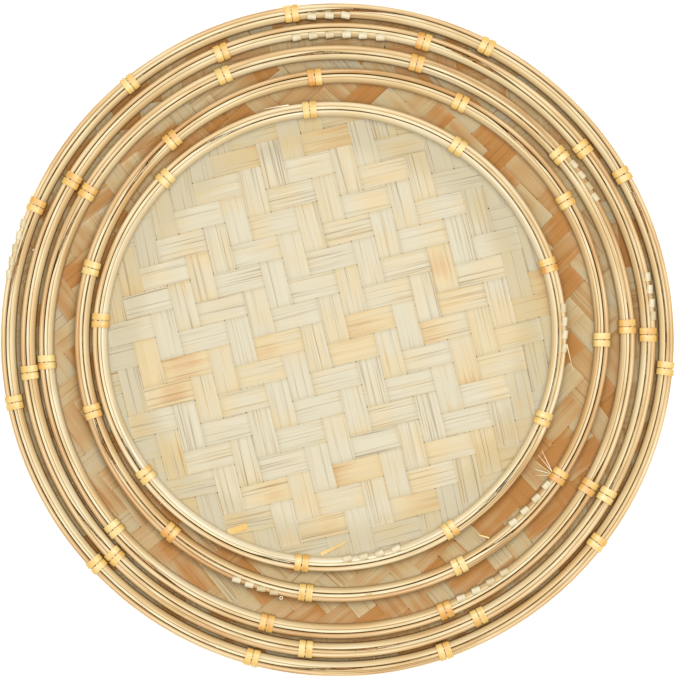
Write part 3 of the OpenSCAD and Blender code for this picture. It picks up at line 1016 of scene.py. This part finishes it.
def lay_strip(name, start, end, width, thick, tip, tone, sag=0.0):
    """A strip from start to end, width at its start and tip times that at its end."""
    bpy.ops.object.select_all(action="DESELECT")
    bpy.ops.mesh.primitive_cube_add(size=MM)
    strip = bpy.context.object
    only(strip)
    edit("EDGE")
    for edge in strip.data.edges:
        a, c = (strip.data.vertices[i].co for i in edge.vertices)
        edge.select = abs(a.x - c.x) > 0.5 * MM
    bpy.ops.object.mode_set(mode="EDIT")
    bpy.ops.mesh.subdivide(number_cuts=STRIP_CUTS)
    bpy.ops.object.mode_set(mode="OBJECT")
    at = points_of(strip)
    t = at[:, 0] + 0.5
    run = np.array(end) - np.array(start)
    length = np.linalg.norm(run)
    sideways = np.array([-run[1], run[0], 0]) / np.hypot(run[0], run[1])
    half = width * (1 + (tip - 1) * t)
    points = np.array(start) + np.outer(t, run) + np.outer(at[:, 1] * half, sideways)
    points[:, 2] += at[:, 2] * thick - sag * 4 * t * (1 - t)
    put_points(strip, points)
    give_fibres(strip, at[:, 1] * half + 17 * tone, t * length, tone)
    strip.name = strip.data.name = name
    smooth_by_angle(strip, 40)
    return strip


def place(b, degrees, inwards):
    radius = b.rim_r - inwards
    return radius * math.cos(math.radians(degrees)), radius * math.sin(math.radians(degrees))


# %% [markdown]
# Two ends of cane show on the floor of the smallest basket: one cut off nearly square, one torn to
# a point. They lie just over the mat and reach down from the wall to the floor.

# %% Tails of the smallest basket's cane
OVER_MAT = 1.0
b = baskets[1]
square_tail = lay_strip("cut_cane_tail", mat_surface(b, *place(b, 242.5, 2.6), OVER_MAT),
                        mat_surface(b, *place(b, 246.5, 8.6), OVER_MAT), 2.6, 0.45, 1.0, 0.3)
torn_tail = lay_strip("torn_cane_tail", mat_surface(b, *place(b, 267.7, 3.6), OVER_MAT),
                      mat_surface(b, *place(b, 275.6, 9.2), OVER_MAT), 1.7, 0.4, 0.15, 0.35)
pieces.append((square_tail, 1, "golden_cane", None))
pieces.append((torn_tail, 1, "golden_cane", None))
print("tails", square_tail.name, torn_tail.name)

# %% [markdown]
# Most fibres are a third of a millimetre wide, and all lie at the height of the rim they come from.
# Those that fan inwards from basket 2 stop short of basket 1, which has to lift out past them.

# %% Lifted fibres
FIBRE_OVER = 0.25
FIBRE_T = 0.2

# Each fibre: basket, its two directions in degrees, its two distances inwards, width and finish
FIBRES = [
    (1, (358, 352), (-3.0, -6.5), 0.4, "golden_cane"),
    (1, (100, 106), (-2.9, -3.6), 0.5, "pale_lath"),
    (5, (98, 101), (-2.9, -3.4), 0.5, "golden_cane"),
    (5, (156, 153.5), (-2.9, -3.5), 0.5, "golden_cane"),
    (3, (207, 211), (-0.2, 0.4), 0.3, "pale_lath"),
    (4, (118, 123), (0.3, -0.3), 0.3, "tan_lath"),
    (2, (146, 150), (-0.4, 0.5), 0.3, "pale_lath"),
    (5, (246, 249), (0.6, -0.4), 0.3, "tan_lath"),
    (2, (327, 330), (3.8, 12.0), 0.35, "pale_lath"),
    (2, (327, 328.6), (3.8, 12.4), 0.3, "pale_lath"),
    (2, (326.6, 326.8), (3.8, 11.6), 0.3, "golden_cane"),
    (2, (326.4, 325.2), (3.8, 10.4), 0.35, "pale_lath"),
    (2, (326, 324), (3.8, 8.8), 0.3, "golden_cane"),
    (2, (306, 304.4), (3.6, 7.4), 0.8, "golden_cane"),
]
for number, (k, turns, inwards, width, finish) in enumerate(FIBRES):
    b = baskets[k]
    ends = []
    for degrees, distance in zip(turns, inwards):
        x, y = place(b, degrees, distance)
        ends.append((b.middle[0] + x, b.middle[1] + y, b.top + FIBRE_OVER))
    fibre = lay_strip(f"lifted_fibre_{number + 1}", *ends, width, FIBRE_T, 0.3, 0.3, sag=-0.3)
    pieces.append((fibre, k, finish, None))
print("fibres", len(FIBRES))

# %% [markdown]
# A bit of reed stands wedged against the outside of basket 2's rim, cut off a millimetre below it,
# so that its hollow end shows. It is a cylinder without ends, and Solidify gives it its wall.

# %% A hollow reed wedged beside the second basket's rim
REED_R, REED_WALL = 0.75, 0.35
REED_AT, REED_GAP, REED_SHORT = 257, 0.15, 2
b = baskets[2]
x, y = place(b, REED_AT, -(b.outer[1] - b.rim_r) - REED_R - REED_GAP)
reed_h = b.top - b.foot - REED_SHORT
bpy.ops.object.select_all(action="DESELECT")
bpy.ops.mesh.primitive_cylinder_add(vertices=20, radius=REED_R * MM, depth=reed_h * MM,
                                    end_fill_type="NOTHING",
                                    location=((b.middle[0] + x) * MM, (b.middle[1] + y) * MM,
                                              (b.top + b.foot) / 2 * MM))
reed = bpy.context.object
bpy.ops.object.transform_apply(location=True, rotation=False, scale=False)
apply_modifier(reed, "SOLIDIFY", thickness=REED_WALL * MM, offset=-1)
reed.name = reed.data.name = "hollow_reed"
at = points_of(reed)
give_fibres(reed, at[:, 0] + at[:, 1], at[:, 2], 0.2)
smooth_by_angle(reed, 40)
pieces.append((reed, 2, "pale_lath", None))
print("loose ends", [piece.name for piece, _, _, node in pieces if node is None])

# %% [markdown]
# ## Settling
# A hand-made rim is never quite round. Every point of a basket goes through one function, so that
# its pieces keep fitting each other: the rim is drawn slightly longer one way than the other, and
# the floor, which lies flat, is not. A lattice round each basket would do the same by hand.

# %% Ovality: the most in millimetres, and the direction of the longer way
OVAL = {1: (0.6, 22), 2: (0.6, 40), 3: (0.3, 5), 4: (0.1, 70), 5: (0.1, 135)}


def settle(piece, b):
    at = points_of(piece)
    x, y, z = at[:, 0] - b.middle[0], at[:, 1] - b.middle[1], at[:, 2]
    r, around = np.hypot(x, y), np.arctan2(y, x)
    most, axis = OVAL[b.k]
    share = np.clip((z - b.base) / (b.top - b.base), 0, 1)
    r = r + most * share * np.cos(2 * (around - math.radians(axis)))
    put_points(piece, np.column_stack([b.middle[0] + r * np.cos(around),
                                       b.middle[1] + r * np.sin(around), z]))


for piece, k, *_ in pieces:
    settle(piece, baskets[k])

# %% [markdown]
# ## Putting the pieces on the baskets
# Each piece gets its finish, rides on its basket's body, and stands for its plain CAD node, which
# stays behind for the motion model.

# %% Finish, ride, replace
for piece, k, slot_name, node in pieces:
    piece.data.materials.clear()
    piece.data.materials.append(FINISHES[slot_name])
    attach(piece, f"basket_{k}")
    if node:
        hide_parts(node)
triangles = sum(sum(len(f.vertices) - 2 for f in piece.data.polygons) for piece, *_ in pieces)
print("pieces", len(pieces), "triangles", triangles)
